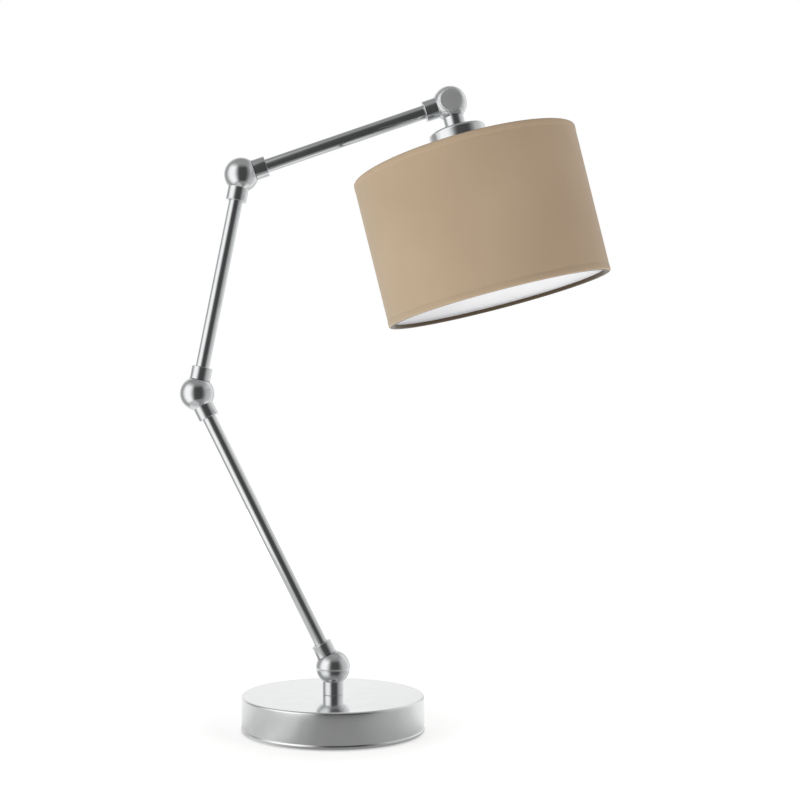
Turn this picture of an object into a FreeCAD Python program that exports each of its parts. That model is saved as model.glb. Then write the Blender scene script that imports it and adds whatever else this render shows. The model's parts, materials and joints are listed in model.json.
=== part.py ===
# Adjustable desk lamp on a weighted round base. Three arm tubes are joined by split ball knuckles,
# and a drum shade of lined fabric hangs from the last knuckle.
#
# Frame: millimetres, +Z up, +X towards the shade, +Y to the back. The origin is the centre of the
# underside of the base. All the arms lie in the plane y = 0, and the hinges turn about Y.
#
# A "lean" is an arm's angle from straight up, positive towards +X. Pieces of an arm or of the head
# are drawn along Z from the centre of the knuckle that carries them, and are then leaned over.
import FreeCAD, Part
import Sketcher
import math
import os
import re

# ---------------------------------------------------------------- driving dimensions

SIZES = {
    # Base
    "base_diameter": 160,
    "base_height": 31,
    "cover_wall": 1.2,
    "cover_edge_radius": 1.6,
    "cover_lift": 0.8,
    "bead_height": 3.4,
    "bead_depth": 0.5,
    "pad_diameter": 152,
    "pad_thickness": 1.5,
    "weight_diameter": 154,
    "weight_height": 18,
    "hub_diameter": 40,
    "nut_recess_diameter": 32,
    "nut_recess_top": 16,
    "pocket_width": 56,
    "pocket_near": 26,
    "pocket_floor": 9.5,
    "slot_width": 8,
    # Cord inlet in the back of the base, and the terminals behind it
    "inlet_height": 17.5,
    "inlet_bore": 7,
    "grommet_neck_diameter": 10.8,
    "grommet_flange_diameter": 15,
    "grommet_flange_thickness": 2,
    "inlet_hole_diameter": 11,
    "terminal_width": 30,
    "terminal_depth": 16,
    "terminal_height": 12,
    "terminal_near": 42,
    "terminal_pitch": 10,
    "terminal_screw_diameter": 3.2,
    "terminal_screw_length": 5,
    "earth_screw_diameter": 4,
    "earth_screw_head": 8,
    # Threaded hollow nipples, with their nuts and washers
    "nipple_diameter": 10,
    "nipple_bore": 8,
    "nipple_grip": 8,
    "nipple_tail": 8.4,
    "nut_width": 17,
    "post_nut_thickness": 6,
    "neck_nut_thickness": 4,
    "lock_washer_diameter": 19,
    "lock_washer_thickness": 1.2,
    "running_clearance": 0.08,
    # Ball knuckles
    "ball_diameter": 30,
    "ball_gap": 0.6,
    "ball_clearance": 0.3,
    "cavity_diameter": 24.4,
    "boss_diameter": 13,
    "collar_diameter": 18,
    "collar_chamfer": 0.8,
    "knuckle_reach": 23.6,
    "pivot_diameter": 4,
    "pivot_depth": 10,
    "pivot_head_diameter": 7,
    "pivot_head_height": 3,
    "pivot_key_width": 3,
    "pivot_seat": 5.5,
    "counterbore_diameter": 9.4,
    "wave_washer_diameter": 8.8,
    "wave_washer_thickness": 1,
    "cap_diameter": 21,
    "cap_flat": 10.9,
    "cap_thickness": 2.4,
    "cap_bevel": 1,
    "cap_spigot_length": 1.2,
    # Arms
    "lower_arm_length": 268.4,
    "lower_arm_lean": -26.4,
    "middle_arm_length": 196,
    "middle_arm_lean": 11.4,
    "upper_arm_length": 193.6,
    "upper_arm_lean": 71.1,
    "tube_diameter": 12,
    "tube_wall": 1,
    "tube_grip": 8,
    "fit_gap": 0.05,
    "lead_diameter": 3.8,
    "lead_bore_diameter": 6,
    "lead_offset": 2.4,
    "lead_end": 8.6,
    "lead_bend": 4,
    "lead_floor": 4.3,
    # Neck and lampholder, measured down the head from the last knuckle
    "head_lean": 166,
    "neck_reach": 23.6,
    "neck_nipple_end": 42,
    "head_lead_end": 40,
    "cup_diameter": 50,
    "cup_height": 38,
    "cup_wall": 1,
    "cup_shoulder": 3,
    "holder_top": 34,
    "holder_end": 72,
    "holder_diameter": 39,
    "holder_bore": 31,
    "insert_top": 43,
    "insert_thickness": 6,
    "socket_diameter": 29.4,
    "socket_wall": 0.5,
    "socket_length": 21,
    "contact_width": 5,
    "contact_thickness": 1,
    "clamp_ring_diameter": 54,
    "clamp_ring_height": 6.5,
    # Bulb
    "bulb_cap_diameter": 26.6,
    "bulb_cap_top": 50.2,
    "bulb_cap_length": 27,
    "bulb_diameter": 45,
    "bulb_length": 78,
    "bulb_wall": 0.8,
    # Shade
    "shade_diameter": 198.4,
    "shade_height": 129.3,
    "shade_top": 49.1,
    "fabric_thickness": 0.8,
    "liner_thickness": 0.4,
    "liner_gap": 0.1,
    "liner_margin": 2,
    "wire_diameter": 3,
    "wire_gap": 0.2,
    "spider_hub_diameter": 60,
    "spider_hub_bore": 39.4,
    "spider_hub_thickness": 1.5,
}

SPOKE_TURNS = (60, 180, 300)
TERMINAL_POLES = (-1, 0, 1)
TERMINAL_ROWS = (-1, 1)

doc = FreeCAD.newDocument("DeskLamp")
sheet = doc.addObject("Spreadsheet::Sheet", "Sizes")
for row, (alias, value) in enumerate(SIZES.items(), start=1):
    sheet.set(f"A{row}", alias)
    sheet.set(f"B{row}", str(value))
    sheet.setAlias(f"B{row}", alias)
doc.recompute()

nodes = []


# ---------------------------------------------------------------- formulas and placements

def in_sheet(formula):
    """Point each size word in a formula at its cell in the sheet."""
    return re.sub(r"[a-z_]+", lambda word: f"Sizes.{word[0]}" if word[0] in SIZES else word[0], formula)


def size(formula):
    """Work out a formula of the sheet's sizes."""
    return float(sheet.evalExpression(formula))


def bind(thing, **formulas):
    """Bind properties of an object to formulas of the sheet's sizes."""
    for name, formula in formulas.items():
        thing.setExpression(name, in_sheet(formula))
    return thing


HERE = ("0", "0", "0")
UPRIGHT = ("0", "0", "0")
ALONG_Y = ("0", "0", "-90")


def placement(at, turn):
    """The formula of a placement: at is x, y, z and turn is yaw, pitch, roll in degrees."""
    vector = "create(<<vector>>; {}; {}; {})".format(*at)
    rotation = "create(<<rotation>>; {}; {}; {})".format(*turn)
    return f"create(<<placement>>; {vector}; {rotation})"


FACING_BACK = "0"
FACING_FRONT = "180"


def leaning_frame(centre, lean, facing):
    """A frame with Z along an arm, from a knuckle's centre, and +Y to the lamp's back or front."""
    x, z = centre
    pitch = lean if facing == FACING_BACK else f"-({lean})"
    return placement((x, "0", z), (facing, pitch, "0"))


def beyond(centre, lean, length):
    """The centre of the knuckle at an arm's far end."""
    x, z = centre
    return f"{x} + {length} * sin({lean})", f"{z} + {length} * cos({lean})"


def node(label, piece, frame=None):
    """Name a finished sub-part and move it from its own frame to its place on the lamp."""
    piece.Label = label
    if frame:
        own = dict(piece.ExpressionEngine).get("Placement")
        piece.setExpression("Placement", in_sheet(frame) + (f" * {own}" if own else ""))
    nodes.append(piece)


# ---------------------------------------------------------------- solids

def solid(kind, name, at, turn, **formulas):
    thing = doc.addObject(f"Part::{kind}", name)
    return bind(thing, Placement=placement(at, turn), **formulas)


def cylinder(name, radius, length, at=HERE, turn=UPRIGHT):
    return solid("Cylinder", name, at, turn, Radius=radius, Height=length)


def cone(name, start_radius, end_radius, length, at=HERE, turn=UPRIGHT):
    return solid("Cone", name, at, turn, Radius1=start_radius, Radius2=end_radius, Height=length)


def ball(name, radius, at=HERE):
    return solid("Sphere", name, at, UPRIGHT, Radius=radius)


def box(name, length, width, height, corner):
    return solid("Box", name, corner, UPRIGHT, Length=length, Width=width, Height=height)


def ring_wire(name, ring_radius, wire_radius, at):
    return solid("Torus", name, at, UPRIGHT, Radius1=ring_radius, Radius2=wire_radius)


def hexagon(name, width, length, at=HERE, turn=UPRIGHT):
    """A hexagonal bar, given by its width across flats."""
    return solid("Prism", name, at, turn, Circumradius=f"{width} / sqrt(3)", Height=length)


def fuse(name, *pieces):
    thing = doc.addObject("Part::MultiFuse", name)
    thing.Shapes = list(pieces)
    return thing


def common(name, *pieces):
    thing = doc.addObject("Part::MultiCommon", name)
    thing.Shapes = list(pieces)
    return thing


def cut(name, piece, *tools):
    thing = doc.addObject("Part::Cut", name)
    thing.Base = piece
    thing.Tool = tools[0] if len(tools) == 1 else fuse(f"{name}_tools", *tools)
    return thing


def pipe(name, outer_radius, inner_radius, length, at=HERE, turn=UPRIGHT):
    """A round tube, ring or washer."""
    outer = cylinder(f"{name}_outer", outer_radius, length, at, turn)
    inner = cylinder(f"{name}_inner", inner_radius, length, at, turn)
    return cut(name, outer, inner)


def group(name, pieces):
    """Identical small pieces that share one node."""
    thing = doc.addObject("Part::Compound", name)
    thing.Links = list(pieces)
    return thing


def turned(name, profile):
    """A body turned about Z from the corners of its outline, each a radius and a height."""
    body = doc.addObject("PartDesign::Body", name)
    outline = body.newObject("Sketcher::SketchObject", f"{name}_outline")
    plane = next(item for item in body.Origin.OriginFeatures if item.Role == "XZ_Plane")
    outline.AttachmentSupport = (plane, [""])
    outline.MapMode = "FlatFace"
    corners = [FreeCAD.Vector(size(radius), size(height), 0) for radius, height in profile]
    following = corners[1:] + corners[:1]
    for start, end in zip(corners, following):
        outline.addGeometry(Part.LineSegment(start, end))
    for line in range(len(corners)):
        next_line = (line + 1) % len(corners)
        outline.addConstraint(Sketcher.Constraint("Coincident", line, 2, next_line, 1))
    for line, (radius, height) in enumerate(profile):
        for direction, formula in (("DistanceX", radius), ("DistanceY", height)):
            rule = Sketcher.Constraint(direction, -1, 1, line, 1, size(formula))
            number = outline.addConstraint(rule)
            outline.setExpression(f"Constraints[{number}]", in_sheet(formula))
    turning = body.newObject("PartDesign::Revolution", f"{name}_turning")
    turning.Profile = outline
    turning.ReferenceAxis = (outline, ["V_Axis"])
    turning.Angle = 360
    return body


def round_edge(body, edge_radius, edge_height, radius):
    """Round the circular edge of a turned body that lies at a radius and a height."""
    doc.recompute()
    feature = body.Tip
    for number, edge in enumerate(feature.Shape.Edges, start=1):
        if not hasattr(edge.Curve, "Radius"):
            continue
        same_radius = abs(edge.Curve.Radius - size(edge_radius)) < 0.01
        if same_radius and abs(edge.CenterOfMass.z - size(edge_height)) < 0.01:
            fillet = body.newObject("PartDesign::Fillet", f"{body.Name}_rounding")
            fillet.Base = (feature, [f"Edge{number}"])
            bind(fillet, Radius=radius)
            return
    raise ValueError(f"{body.Name} has no edge to round")


# ---------------------------------------------------------------- base

BASE_RADIUS = "base_diameter / 2"
NIPPLE_HOLE = "nipple_diameter / 2 + running_clearance"


def make_base_cover():
    """Spun cup, open downwards, with a beaded rim, a centre hole and a cord hole at the back."""
    inner = "base_diameter / 2 - cover_wall"
    bead = "base_diameter / 2 + bead_depth"
    bead_top = "cover_lift + bead_height"
    under = "base_height - cover_wall"
    cup = turned("cover_cup", [
        (bead, "cover_lift"),
        (bead, bead_top),
        (BASE_RADIUS, bead_top),
        (BASE_RADIUS, "base_height"),
        (NIPPLE_HOLE, "base_height"),
        (NIPPLE_HOLE, under),
        (inner, under),
        (inner, "cover_lift"),
    ])
    round_edge(cup, BASE_RADIUS, "base_height", "cover_edge_radius")
    start = ("0", "base_diameter / 2 - 2 * grommet_flange_thickness", "inlet_height")
    hole = cylinder("inlet_hole", "inlet_hole_diameter / 2", "4 * grommet_flange_thickness", start, ALONG_Y)
    node("base_cover", cut("cover_with_inlet", cup, hole))


def make_base_weight():
    """Cast disc with a hub under the cover, a recess for the post's nut and a pocket for terminals."""
    weight_top = "pad_thickness + weight_height"
    hub_top = "base_height - cover_wall"
    casting = turned("weight_casting", [
        ("nut_recess_diameter / 2", "pad_thickness"),
        ("weight_diameter / 2", "pad_thickness"),
        ("weight_diameter / 2", weight_top),
        ("hub_diameter / 2", weight_top),
        ("hub_diameter / 2", hub_top),
        (NIPPLE_HOLE, hub_top),
        (NIPPLE_HOLE, "nut_recess_top"),
        ("nut_recess_diameter / 2", "nut_recess_top"),
    ])
    pocket_corner = ("-pocket_width / 2", "pocket_near", "pocket_floor")
    pocket = box("terminal_pocket", "pocket_width", "base_diameter / 2", "base_height", pocket_corner)
    slot_corner = ("-slot_width / 2", "hub_diameter / 4", "pad_thickness")
    slot_height = "nut_recess_top - pad_thickness"
    slot = box("lead_slot", "slot_width", "terminal_near - hub_diameter / 4", slot_height, slot_corner)
    earth_hole = cylinder("earth_hole", "earth_screw_diameter / 2", "weight_height / 2", EARTH_SCREW_FOOT)
    node("base_weight", cut("weight_machined", casting, pocket, slot, earth_hole))


EARTH_SCREW_FOOT = ("weight_diameter / 5", "0", "pad_thickness + weight_height / 2")


def make_base_fittings():
    node("base_pad", cylinder("pad_disc", "pad_diameter / 2", "pad_thickness"))
    shank = cylinder("earth_shank", "earth_screw_diameter / 2", "weight_height / 2", EARTH_SCREW_FOOT)
    head_foot = (EARTH_SCREW_FOOT[0], "0", "pad_thickness + weight_height")
    head = cylinder("earth_head", "earth_screw_head / 2", "earth_screw_head / 3", head_foot)
    node("earth_screw", fuse("earth_screw_whole", shank, head))


def make_cord_grommet():
    """Rubber bush in the inlet hole, with a flange on each side of the cover's wall."""
    outside = "base_diameter / 2 + running_clearance"
    inside = "base_diameter / 2 - cover_wall - grommet_flange_thickness - 5 * running_clearance"
    flange = "grommet_flange_diameter / 2"
    neck_length = "grommet_flange_thickness + cover_wall + 6 * running_clearance"
    outer_at = ("0", outside, "inlet_height")
    inner_at = ("0", inside, "inlet_height")
    bush = fuse(
        "grommet_blank",
        cylinder("outer_flange", flange, "grommet_flange_thickness", outer_at, ALONG_Y),
        cylinder("grommet_neck", "grommet_neck_diameter / 2", neck_length, inner_at, ALONG_Y),
        cylinder("inner_flange", flange, "grommet_flange_thickness", inner_at, ALONG_Y),
    )
    bore_length = f"{neck_length} + grommet_flange_thickness"
    bore = cylinder("grommet_bore", "inlet_bore / 2", bore_length, inner_at, ALONG_Y)
    node("cord_grommet", cut("grommet_bored", bush, bore))


def make_terminals():
    """Three-pole block on the pocket's floor, with two screws to each pole."""
    corner = ("-terminal_width / 2", "terminal_near", "pocket_floor")
    blank = box("terminal_blank", "terminal_width", "terminal_depth", "terminal_height", corner)
    screw_foot = "pocket_floor + terminal_height - terminal_screw_length"
    holes = []
    screws = []
    radius = "terminal_screw_diameter / 2"
    for pole in TERMINAL_POLES:
        across = f"{pole} * terminal_pitch"
        entry = (across, "terminal_near", "pocket_floor + terminal_height / 3")
        holes.append(cylinder("wire_entry", radius, "terminal_depth", entry, ALONG_Y))
        for row in TERMINAL_ROWS:
            depth = f"terminal_near + terminal_depth / 2 + {row} * terminal_depth / 4"
            foot = (across, depth, screw_foot)
            holes.append(cylinder("screw_hole", f"{radius} + fit_gap", "terminal_screw_length", foot))
            screws.append(cylinder("terminal_screw", radius, "terminal_screw_length * 0.8", foot))
    node("terminal_block", cut("terminal_drilled", blank, *holes))
    node("terminal_screws", group("terminal_screw_set", screws))


def make_base_lead():
    """Inner lead from below the post's nipple, through the slot, up to the terminal block."""
    floor = size("lead_floor")
    entry = size("pocket_floor + terminal_height / 3")
    near = size("terminal_near")
    bend = size("lead_bend")
    route = [
        FreeCAD.Vector(0, 0, size("nipple_tail - fit_gap * 4")),
        FreeCAD.Vector(0, 0, floor),
        FreeCAD.Vector(0, near - 4 * bend, floor),
        FreeCAD.Vector(0, near - 2 * bend, entry),
        FreeCAD.Vector(0, near - 1, entry),
    ]
    path = Part.Wire(rounded_route(route, [size("lead_diameter"), bend, bend]))
    circle = Part.makeCircle(size("lead_diameter") / 2, route[0], FreeCAD.Vector(0, 0, -1))
    lead = doc.addObject("Part::Feature", "base_lead_run")
    lead.Shape = path.makePipeShell([Part.Wire(circle)], True, False)
    node("base_lead", lead)


def rounded_route(points, radii):
    """Straight runs through the points, joined by tangent arcs of the given radii."""
    edges = []
    start = points[0]
    for before, corner, after, radius in zip(points, points[1:], points[2:], radii):
        arriving = (corner - before).normalize()
        leaving = (after - corner).normalize()
        turn = arriving.getAngle(leaving)
        reach = radius * math.tan(turn / 2)
        arc_start = corner - arriving * reach
        arc_end = corner + leaving * reach
        inward = (leaving - arriving).normalize()
        centre = corner + inward * (radius / math.cos(turn / 2))
        middle = centre - inward * radius
        edges.append(Part.LineSegment(start, arc_start).toShape())
        edges.append(Part.Arc(arc_start, middle, arc_end).toShape())
        start = arc_end
    edges.append(Part.LineSegment(start, points[-1]).toShape())
    return edges


# ---------------------------------------------------------------- knuckles

BALL_RADIUS = "ball_diameter / 2"
COLLAR_RADIUS = "collar_diameter / 2"
PIVOT_BORE = "pivot_diameter / 2 + running_clearance"


def half_space(name, side):
    """A block that holds everything beyond the split of a ball, on its own side or the other."""
    own = "ball_gap / 2" if side > 0 else "ball_gap / 2 - 2 * ball_diameter"
    corner = ("-ball_diameter", own, "-ball_diameter")
    return box(name, "2 * ball_diameter", "2 * ball_diameter", "2 * ball_diameter", corner)


def knuckle_half(label, frame, capped, reach, seat_radius, seat_depth):
    """Half a ball on the +Y side of the split, in one piece with a collar along +Z.

    The collar is hollowed to clear the other half. A capped half has a counterbore for the pivot
    screw's head, and the other kind is tapped for its thread.
    """
    def part(word):
        return f"{label}_{word}"

    shell = common(part("shell"), ball(part("ball"), BALL_RADIUS), half_space(part("own_side"), 1))
    barrel_length = f"{reach} - collar_chamfer"
    end_radius = f"{COLLAR_RADIUS} - collar_chamfer"
    collar = fuse(
        part("collar"),
        cylinder(part("barrel"), COLLAR_RADIUS, barrel_length),
        cone(part("chamfer"), COLLAR_RADIUS, end_radius, "collar_chamfer", ("0", "0", barrel_length)),
    )
    swept = ball(part("swept"), f"{BALL_RADIUS} + ball_clearance")
    other_half = common(part("other_half"), swept, half_space(part("other_side"), -1))
    blank = fuse(part("blank"), shell, cut(part("hollowed_collar"), collar, other_half))

    hollow = cut(
        part("hollow"),
        ball(part("cavity"), "cavity_diameter / 2"),
        cylinder(part("boss"), "boss_diameter / 2", BALL_RADIUS, HERE, ALONG_Y),
    )
    own_hollow = common(part("own_hollow"), hollow, half_space(part("hollow_side"), 1))
    lead_start = ("0", "lead_offset", "boss_diameter / 2 + 1")
    lead_length = f"{reach} - {seat_depth} - boss_diameter / 2"
    openings = [
        own_hollow,
        cylinder(part("lead_bore"), "lead_bore_diameter / 2", lead_length, lead_start),
        cylinder(part("seat"), seat_radius, seat_depth, ("0", "0", f"{reach} - {seat_depth}")),
    ]
    if capped:
        seat = ("0", "pivot_seat", "0")
        flat = ("-ball_diameter / 2", "cap_flat", "-ball_diameter / 2")
        openings += [
            cylinder(part("pivot_bore"), PIVOT_BORE, BALL_RADIUS, HERE, ALONG_Y),
            cylinder(part("counterbore"), "counterbore_diameter / 2", BALL_RADIUS, seat, ALONG_Y),
            box(part("cap_flat"), "ball_diameter", BALL_RADIUS, "ball_diameter", flat),
        ]
    else:
        openings.append(cylinder(part("thread"), PIVOT_BORE, "pivot_depth + fit_gap", HERE, ALONG_Y))
    node(label, cut(part("finished"), blank, *openings), frame)


def pivot_hardware(label, frame):
    """The screw, washers and cap that hold two ball halves, with the screw's head towards +Y."""
    shank_length = "pivot_depth + pivot_seat + wave_washer_thickness"
    head_at = ("0", "pivot_seat + wave_washer_thickness", "0")
    head_top = "pivot_seat + wave_washer_thickness + pivot_head_height"
    key_at = ("0", f"{head_top} - pivot_head_height / 2", "0")
    shank_at = ("0", "-pivot_depth", "0")
    shank = cylinder(f"{label}_shank", "pivot_diameter / 2", shank_length, shank_at, ALONG_Y)
    head = cylinder(f"{label}_head", "pivot_head_diameter / 2", "pivot_head_height", head_at, ALONG_Y)
    key = hexagon(f"{label}_key", "pivot_key_width", "pivot_head_height", key_at, ALONG_Y)
    blank = fuse(f"{label}_screw_blank", shank, head)
    node(f"{label}_screw", cut(f"{label}_screw_keyed", blank, key), frame)

    wave = pipe(f"{label}_wave", "wave_washer_diameter / 2", PIVOT_BORE, "wave_washer_thickness",
                ("0", "pivot_seat", "0"), ALONG_Y)
    node(f"{label}_wave_washer", wave, frame)
    friction = pipe(f"{label}_friction", "boss_diameter / 2", PIVOT_BORE, "ball_gap",
                    ("0", "-ball_gap / 2", "0"), ALONG_Y)
    node(f"{label}_friction_washer", friction, frame)


def pivot_cap(label, frame):
    """Bevelled disc on the ball's flat, with a spigot in the counterbore."""
    radius = "cap_diameter / 2"
    disc_thickness = "cap_thickness - cap_bevel"
    disc_at = ("0", "cap_flat", "0")
    bevel_at = ("0", f"cap_flat + {disc_thickness}", "0")
    spigot_at = ("0", "cap_flat - cap_spigot_length", "0")
    spigot_radius = "counterbore_diameter / 2 - fit_gap"
    disc = cylinder(f"{label}_disc", radius, disc_thickness, disc_at, ALONG_Y)
    bevel = cone(f"{label}_bevel", radius, f"{radius} - cap_bevel", "cap_bevel", bevel_at, ALONG_Y)
    spigot = cylinder(f"{label}_spigot", spigot_radius, "cap_spigot_length", spigot_at, ALONG_Y)
    node(f"{label}_cap", fuse(f"{label}_cap_whole", disc, bevel, spigot), frame)


# ---------------------------------------------------------------- arms and leads

def lead_segment(label, frame, end_offset, end):
    """Straight piece of the inner lead, from a knuckle's cavity to the far end of its body."""
    run = f"({end} - lead_end)"
    drift = f"(lead_offset - ({end_offset}))"
    start = ("0", "lead_offset", "lead_end")
    slant = ("0", "0", f"atan2({drift}; {run})")
    length = f"hypot({drift}; {run})"
    node(label, cylinder(f"{label}_run", "lead_diameter / 2", length, start, slant), frame)


def make_arm(name, centre, far_centre, lean, length, far_capped):
    """A tube between two knuckle halves: the near one is at the back and the far one at the front."""
    along = leaning_frame(centre, lean, FACING_BACK)
    returning = leaning_frame(far_centre, f"({lean} + 180)", FACING_FRONT)
    tube_seat = "tube_diameter / 2 + fit_gap"
    tube_start = "(knuckle_reach - tube_grip)"
    knuckle_half(f"{name}_near_knuckle", along, True, "knuckle_reach", tube_seat, "tube_grip")
    knuckle_half(f"{name}_far_knuckle", returning, far_capped, "knuckle_reach", tube_seat, "tube_grip")
    tube = pipe(f"{name}_pipe", "tube_diameter / 2", "tube_diameter / 2 - tube_wall",
                f"{length} - 2 * {tube_start}", ("0", "0", tube_start))
    node(f"{name}_tube", tube, along)
    lead_segment(f"{name}_lead", along, "-lead_offset", f"{length} - lead_end")


# ---------------------------------------------------------------- post

NIPPLE_SEAT = "nipple_diameter / 2 + fit_gap"


def hollow_nut(label, thickness, at, frame=None):
    """Hexagonal nut for a hollow nipple."""
    blank = hexagon(f"{label}_hexagon", "nut_width", thickness, at)
    thread = cylinder(f"{label}_thread", NIPPLE_SEAT, thickness, at)
    node(label, cut(f"{label}_tapped", blank, thread), frame)


def make_post(centre):
    """The lowest knuckle half, on a hollow nipple that turns in the base's hub."""
    downwards = leaning_frame(centre, "180", FACING_FRONT)
    knuckle_half("post_knuckle", downwards, False, "knuckle_reach", NIPPLE_SEAT, "nipple_grip")
    nipple_length = "base_height + nipple_grip - nipple_tail"
    nipple = pipe("post_nipple_pipe", "nipple_diameter / 2", "nipple_bore / 2", nipple_length,
                  ("0", "0", "nipple_tail"))
    node("post_nipple", nipple)
    washer_foot = "nut_recess_top - lock_washer_thickness"
    washer = pipe("lock_washer_ring", "lock_washer_diameter / 2", NIPPLE_SEAT, "lock_washer_thickness",
                  ("0", "0", washer_foot))
    node("post_lock_washer", washer)
    hollow_nut("post_lock_nut", "post_nut_thickness", ("0", "0", f"{washer_foot} - post_nut_thickness"))
    lead_segment("post_lead", downwards, "0", "base_height + knuckle_reach - nipple_tail - 4 * fit_gap")


# ---------------------------------------------------------------- neck, lampholder and bulb

CUP_RADIUS = "cup_diameter / 2"
CUP_END = "neck_reach + cup_height"
SHOULDER_INSIDE = "cup_shoulder - cup_wall"


def make_neck(frame):
    knuckle_half("neck_knuckle", frame, False, "neck_reach", NIPPLE_SEAT, "nipple_grip")
    start = "(neck_reach - nipple_grip)"
    nipple = pipe("neck_nipple_pipe", "nipple_diameter / 2", "nipple_bore / 2",
                  f"neck_nipple_end - {start}", ("0", "0", start))
    node("neck_nipple", nipple, frame)
    hollow_nut("neck_nut", "neck_nut_thickness", ("0", "0", "neck_reach + cup_wall"), frame)
    lead_segment("neck_lead", frame, "0", "head_lead_end")


def make_holder_cup(frame):
    """Metal cup over the lampholder, open towards the shade."""
    inner = "cup_diameter / 2 - cup_wall"
    top = "neck_reach"
    under = "neck_reach + cup_wall"
    cup = turned("holder_cup", [
        (NIPPLE_SEAT, top),
        (CUP_RADIUS, top),
        (CUP_RADIUS, CUP_END),
        (inner, CUP_END),
        (inner, under),
        (NIPPLE_SEAT, under),
    ])
    round_edge(cup, CUP_RADIUS, top, "cup_shoulder")
    round_edge(cup, inner, under, SHOULDER_INSIDE)
    node("lampholder_cup", cup, frame)


def make_lampholder(frame):
    """Moulded body on the neck's nipple, its ceramic insert, screw shell and centre contact."""
    bore = "holder_bore / 2"
    body = turned("holder_body", [
        (NIPPLE_SEAT, "holder_top"),
        ("holder_diameter / 2", "holder_top"),
        ("holder_diameter / 2", "holder_end"),
        (bore, "holder_end"),
        (bore, "insert_top"),
        (NIPPLE_SEAT, "insert_top"),
    ])
    node("lampholder_body", body, frame)
    insert = pipe("holder_insert", f"{bore} - fit_gap", "contact_width / 3", "insert_thickness",
                  ("0", "0", "insert_top"))
    node("lampholder_insert", insert, frame)
    insert_end = "insert_top + insert_thickness"
    shell = pipe("holder_shell", "socket_diameter / 2", "socket_diameter / 2 - socket_wall",
                 "socket_length", ("0", "0", insert_end))
    node("lampholder_screw_shell", shell, frame)
    corner = ("-holder_bore / 4", "-contact_width / 2", insert_end)
    contact = box("contact_strip", "holder_bore / 2", "contact_width", "contact_thickness", corner)
    node("centre_contact", contact, frame)
    ring_at = ("0", "0", f"{CUP_END} + spider_hub_thickness")
    ring_bore = "holder_diameter / 2 + fit_gap"
    ring = pipe("clamp_ring_blank", "clamp_ring_diameter / 2", ring_bore, "clamp_ring_height", ring_at)
    node("shade_clamp_ring", ring, frame)


def globe(name, radius, neck_radius, cap_end, globe_centre):
    """A sphere that runs into a tapered neck."""
    neck_end = f"({globe_centre} - {radius} * 0.6)"
    neck_length = f"{neck_end} - {cap_end}"
    neck = cone(f"{name}_neck", neck_radius, f"{radius} * 0.8", neck_length, ("0", "0", cap_end))
    return fuse(name, ball(f"{name}_ball", radius, ("0", "0", globe_centre)), neck)


def make_bulb(frame):
    """Small globe bulb with a screw cap."""
    cap_radius = "bulb_cap_diameter / 2"
    cap_end = "(bulb_cap_top + bulb_cap_length)"
    centre = "(bulb_cap_top + bulb_length - bulb_diameter / 2)"
    outer_radius = "(bulb_diameter / 2)"
    inner_radius = "(bulb_diameter / 2 - bulb_wall)"
    outer_neck = f"{cap_radius} - bulb_wall / 2"
    outer = globe("bulb_outside", outer_radius, outer_neck, cap_end, centre)
    inner = globe("bulb_inside", inner_radius, f"{outer_neck} - bulb_wall", cap_end, centre)
    node("bulb_globe", cut("bulb_hollow", outer, inner), frame)
    contact_length = "bulb_cap_length / 9"
    shell_start = ("0", "0", f"bulb_cap_top + {contact_length} - fit_gap")
    contact_at = ("0", "0", "bulb_cap_top + contact_thickness / 4")
    contact = cone("bulb_contact", "bulb_cap_diameter / 5", cap_radius, contact_length, contact_at)
    barrel = cylinder("bulb_barrel", cap_radius, f"bulb_cap_length - {contact_length}", shell_start)
    node("bulb_cap", fuse("bulb_cap_whole", contact, barrel), frame)


# ---------------------------------------------------------------- shade

SHADE_RADIUS = "shade_diameter / 2"
FABRIC_INSIDE = f"({SHADE_RADIUS} - fabric_thickness)"
LINER_OUTSIDE = f"({FABRIC_INSIDE} - liner_gap)"
WIRE_RADIUS = "wire_diameter / 2"
RING_RADIUS = f"({LINER_OUTSIDE} - liner_thickness - wire_gap - {WIRE_RADIUS})"


def make_shade_frame(frame):
    """Hub plate and three spokes brazed to the top wire, and a separate bottom wire."""
    hub_top = CUP_END
    hub_radius = "spider_hub_diameter / 2"
    hub = pipe("spider_hub", hub_radius, "spider_hub_bore / 2 + fit_gap", "spider_hub_thickness",
               ("0", "0", hub_top))
    top_wire = f"shade_top + wire_gap + {WIRE_RADIUS}"
    spoke_start = f"({hub_radius} - wire_diameter / 2)"
    run = f"({RING_RADIUS} - {spoke_start})"
    rise = f"({hub_top} + spider_hub_thickness / 2 - ({top_wire}))"
    spokes = []
    for angle in SPOKE_TURNS:
        foot = (f"{spoke_start} * cos({angle})", f"{spoke_start} * sin({angle})", f"{top_wire} + {rise}")
        turn = (str(angle), f"90 deg + atan2({rise}; {run})", "0")
        spokes.append(cylinder("spoke", WIRE_RADIUS, f"hypot({rise}; {run})", foot, turn))
    ring = ring_wire("top_wire", RING_RADIUS, WIRE_RADIUS, ("0", "0", top_wire))
    node("shade_spider", fuse("spider_brazed", hub, ring, *spokes), frame)
    bottom = ("0", "0", f"shade_top + shade_height - wire_gap - {WIRE_RADIUS}")
    node("shade_bottom_wire", ring_wire("bottom_wire", RING_RADIUS, WIRE_RADIUS, bottom), frame)


def make_shade_skin(frame):
    """Fabric drum with a stiff white liner a little shorter than it."""
    fabric = pipe("fabric_drum", SHADE_RADIUS, FABRIC_INSIDE, "shade_height", ("0", "0", "shade_top"))
    node("shade_fabric", fabric, frame)
    liner_height = "shade_height - 2 * liner_margin"
    liner = pipe("liner_drum", LINER_OUTSIDE, f"{LINER_OUTSIDE} - liner_thickness", liner_height,
                 ("0", "0", "shade_top + liner_margin"))
    node("shade_liner", liner, frame)


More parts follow.
